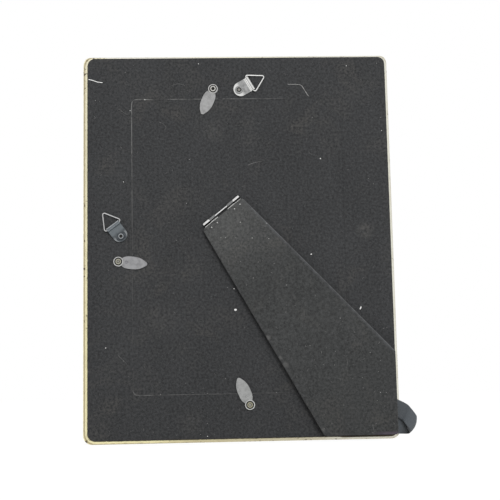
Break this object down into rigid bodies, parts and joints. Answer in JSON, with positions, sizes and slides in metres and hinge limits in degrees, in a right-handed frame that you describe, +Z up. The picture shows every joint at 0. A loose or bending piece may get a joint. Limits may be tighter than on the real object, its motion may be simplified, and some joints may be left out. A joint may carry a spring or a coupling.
{
  "type": "easel-backed picture frame",
  "caption": "Gilded picture frame with a flocked easel back: slanted folding leg with ribbon stay, lift-out door held by turn buttons, and strap hangers with triangular rings.",
  "frame": {"origin": "centre of the flat underside of the bottom rail, halfway through the moulding's depth", "axes": "+Z up, +Y towards the picture side, -Y out of the flocked back, +X right as seen from the back"},
  "size_m": [0.1983, 0.0275, 0.237],
  "materials": {
    "gilt_moulding": "distressed antique gold leaf over wood",
    "black_flock": "black flock over fibreboard",
    "zinc_plate": "dull zinc plate",
    "nickel_plate": "bright nickel plate",
    "rivet_metal": "plated hollow rivet, slightly brassy",
    "steel_wire": "bare steel",
    "clear_glass": "clear picture glass",
    "plain_paper": "bare paper insert",
    "grey_card": "grey chipboard",
    "satin_ribbon": "dark grey satin"
  },
  "bodies": {
    "frame": {"bottom_rail": "gilt_moulding", "right_stile": "gilt_moulding", "top_rail": "gilt_moulding", "left_stile": "gilt_moulding", "corner_nail_bottom_right": "steel_wire", "corner_nail_top_right": "steel_wire", "corner_nail_top_left": "steel_wire", "corner_nail_bottom_left": "steel_wire", "glass_pane": "clear_glass", "paper_insert": "plain_paper", "filler_card": "grey_card", "back_panel": "black_flock", "back_door": "black_flock", "button_rivet_top": "rivet_metal", "button_rivet_left": "rivet_metal", "button_rivet_bottom": "rivet_metal", "hanger_strap_top": "nickel_plate", "hanger_rivet_top": "rivet_metal", "hanger_strap_left": "nickel_plate", "hanger_rivet_left": "rivet_metal", "hinge_leaf_door": "nickel_plate", "hinge_pin": "nickel_plate", "stay_ribbon": "satin_ribbon", "ribbon_staple_panel": "steel_wire"},
    "leg": {"easel_leg": "black_flock", "hinge_leaf_leg": "nickel_plate", "ribbon_staple_leg": "steel_wire"},
    "button_top": {"turn_button_top": "zinc_plate"},
    "button_left": {"turn_button_left": "zinc_plate"},
    "button_bottom": {"turn_button_bottom": "zinc_plate"},
    "ring_top": {"hanger_ring_top": "nickel_plate"},
    "ring_left": {"hanger_ring_left": "nickel_plate"}
  },
  "joints": [
    {"name": "leg_fold", "type": "hinge", "parent": "frame", "child": "leg", "pos_m": [-0.0107, -0.0135, 0.1384], "axis": [-0.7804, 0, -0.6252], "range_deg": [0, 25], "deforming": ["stay_ribbon"]},
    {"name": "top_button_turn", "type": "hinge", "parent": "frame", "child": "button_top", "pos_m": [-0.0145, -0.0131, 0.2147], "axis": [0, -1, 0], "range_deg": [-180, 60]},
    {"name": "left_button_turn", "type": "hinge", "parent": "frame", "child": "button_left", "pos_m": [-0.0729, -0.0131, 0.1084], "axis": [0, -1, 0], "range_deg": [-190, 45]},
    {"name": "bottom_button_turn", "type": "hinge", "parent": "frame", "child": "button_bottom", "pos_m": [0.0046, -0.0131, 0.0217], "axis": [0, -1, 0], "range_deg": [-100, 180]},
    {"name": "top_ring_swing", "type": "hinge", "parent": "frame", "child": "ring_top", "pos_m": [0.00825, -0.01365, 0.21752], "axis": [0.4924, 0, -0.8704], "range_deg": [0, 160]},
    {"name": "left_ring_swing", "type": "hinge", "parent": "frame", "child": "ring_left", "pos_m": [-0.07586, -0.01365, 0.12989], "axis": [0.7986, 0, 0.6018], "range_deg": [0, 160]}
  ]
}
